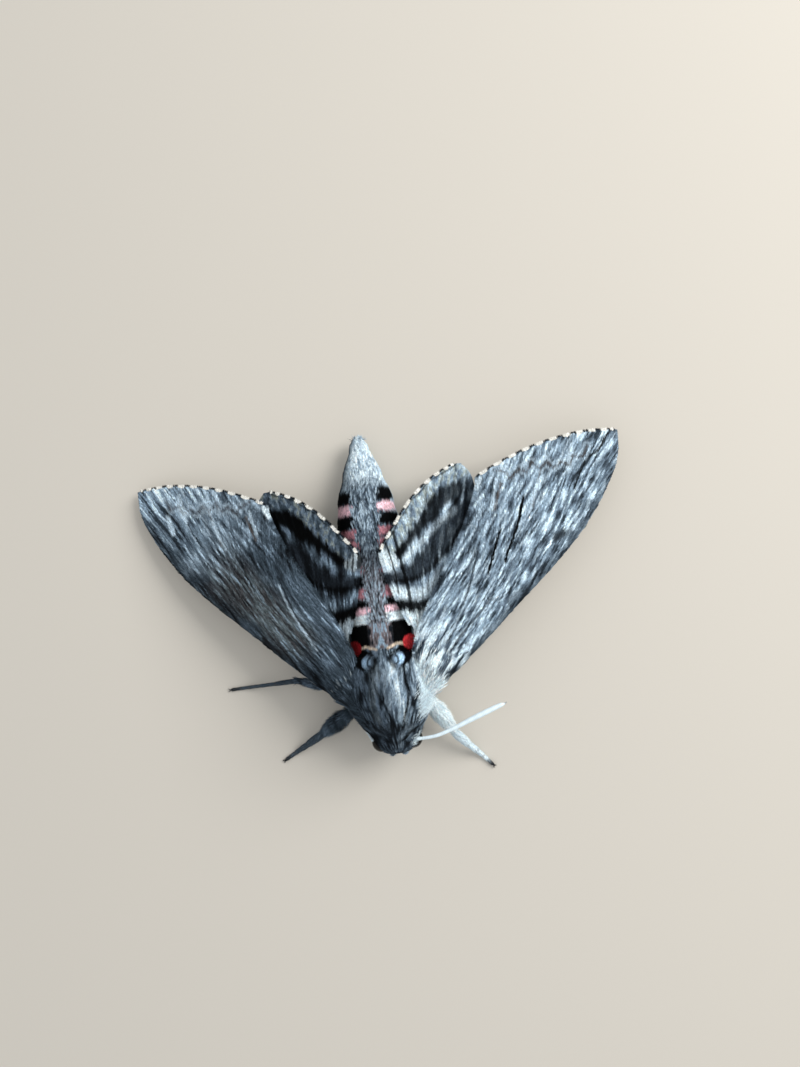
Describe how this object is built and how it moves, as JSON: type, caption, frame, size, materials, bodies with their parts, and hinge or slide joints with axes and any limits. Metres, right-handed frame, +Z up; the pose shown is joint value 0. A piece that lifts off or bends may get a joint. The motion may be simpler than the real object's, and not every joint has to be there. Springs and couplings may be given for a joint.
{
  "type": "hawk moth",
  "caption": "Life-size still model of a grey hawk moth at rest on a floor, wings half spread over a banded furry abdomen.",
  "frame": {"origin": "middle of the footprint's bounding box, on the floor", "axes": "+Z up, the head faces -Y and the tail +Y, the moth's left side is +X"},
  "size_m": [0.0808, 0.0562, 0.0124],
  "materials": {
    "body_fur": "soft grey fur and hair scales, matt",
    "leg_fur": "short pale grey fur, matt",
    "forewing_scales": "fine overlapping wing scales in streaked blue-greys, matt",
    "hindwing_scales": "fine wing scales in grey with black bands, matt",
    "eye": "dark, finely faceted and glossy",
    "antenna": "white-scaled shaft with fine cross rings",
    "foot": "dark horn with pale rings of scales",
    "tongue": "brown horn, softly glossy"
  },
  "bodies": {
    "root": {"head": "body_fur", "eye_left": "eye", "eye_right": "eye", "palp_left": "body_fur", "palp_right": "body_fur", "tongue": "tongue", "antenna_left": "antenna", "antenna_right": "antenna", "thorax": "body_fur", "abdomen_1": "body_fur", "abdomen_2": "body_fur", "abdomen_3": "body_fur", "abdomen_4": "body_fur", "abdomen_5": "body_fur", "abdomen_6": "body_fur", "abdomen_7": "body_fur", "tail_brush": "body_fur", "forewing_left": "forewing_scales", "forewing_right": "forewing_scales", "hindwing_left": "hindwing_scales", "hindwing_right": "hindwing_scales", "foreleg_left_thigh": "leg_fur", "foreleg_left_shin": "leg_fur", "foreleg_left_foot": "foot", "foreleg_right_thigh": "leg_fur", "foreleg_right_shin": "leg_fur", "foreleg_right_foot": "foot", "midleg_left_thigh": "leg_fur", "midleg_left_shin": "leg_fur", "midleg_left_foot": "foot", "midleg_right_thigh": "leg_fur", "midleg_right_shin": "leg_fur", "midleg_right_foot": "foot", "hindleg_left_thigh": "leg_fur", "hindleg_left_shin": "leg_fur", "hindleg_left_foot": "foot", "hindleg_right_thigh": "leg_fur", "hindleg_right_shin": "leg_fur", "hindleg_right_foot": "foot"}
  },
  "joints": []
}
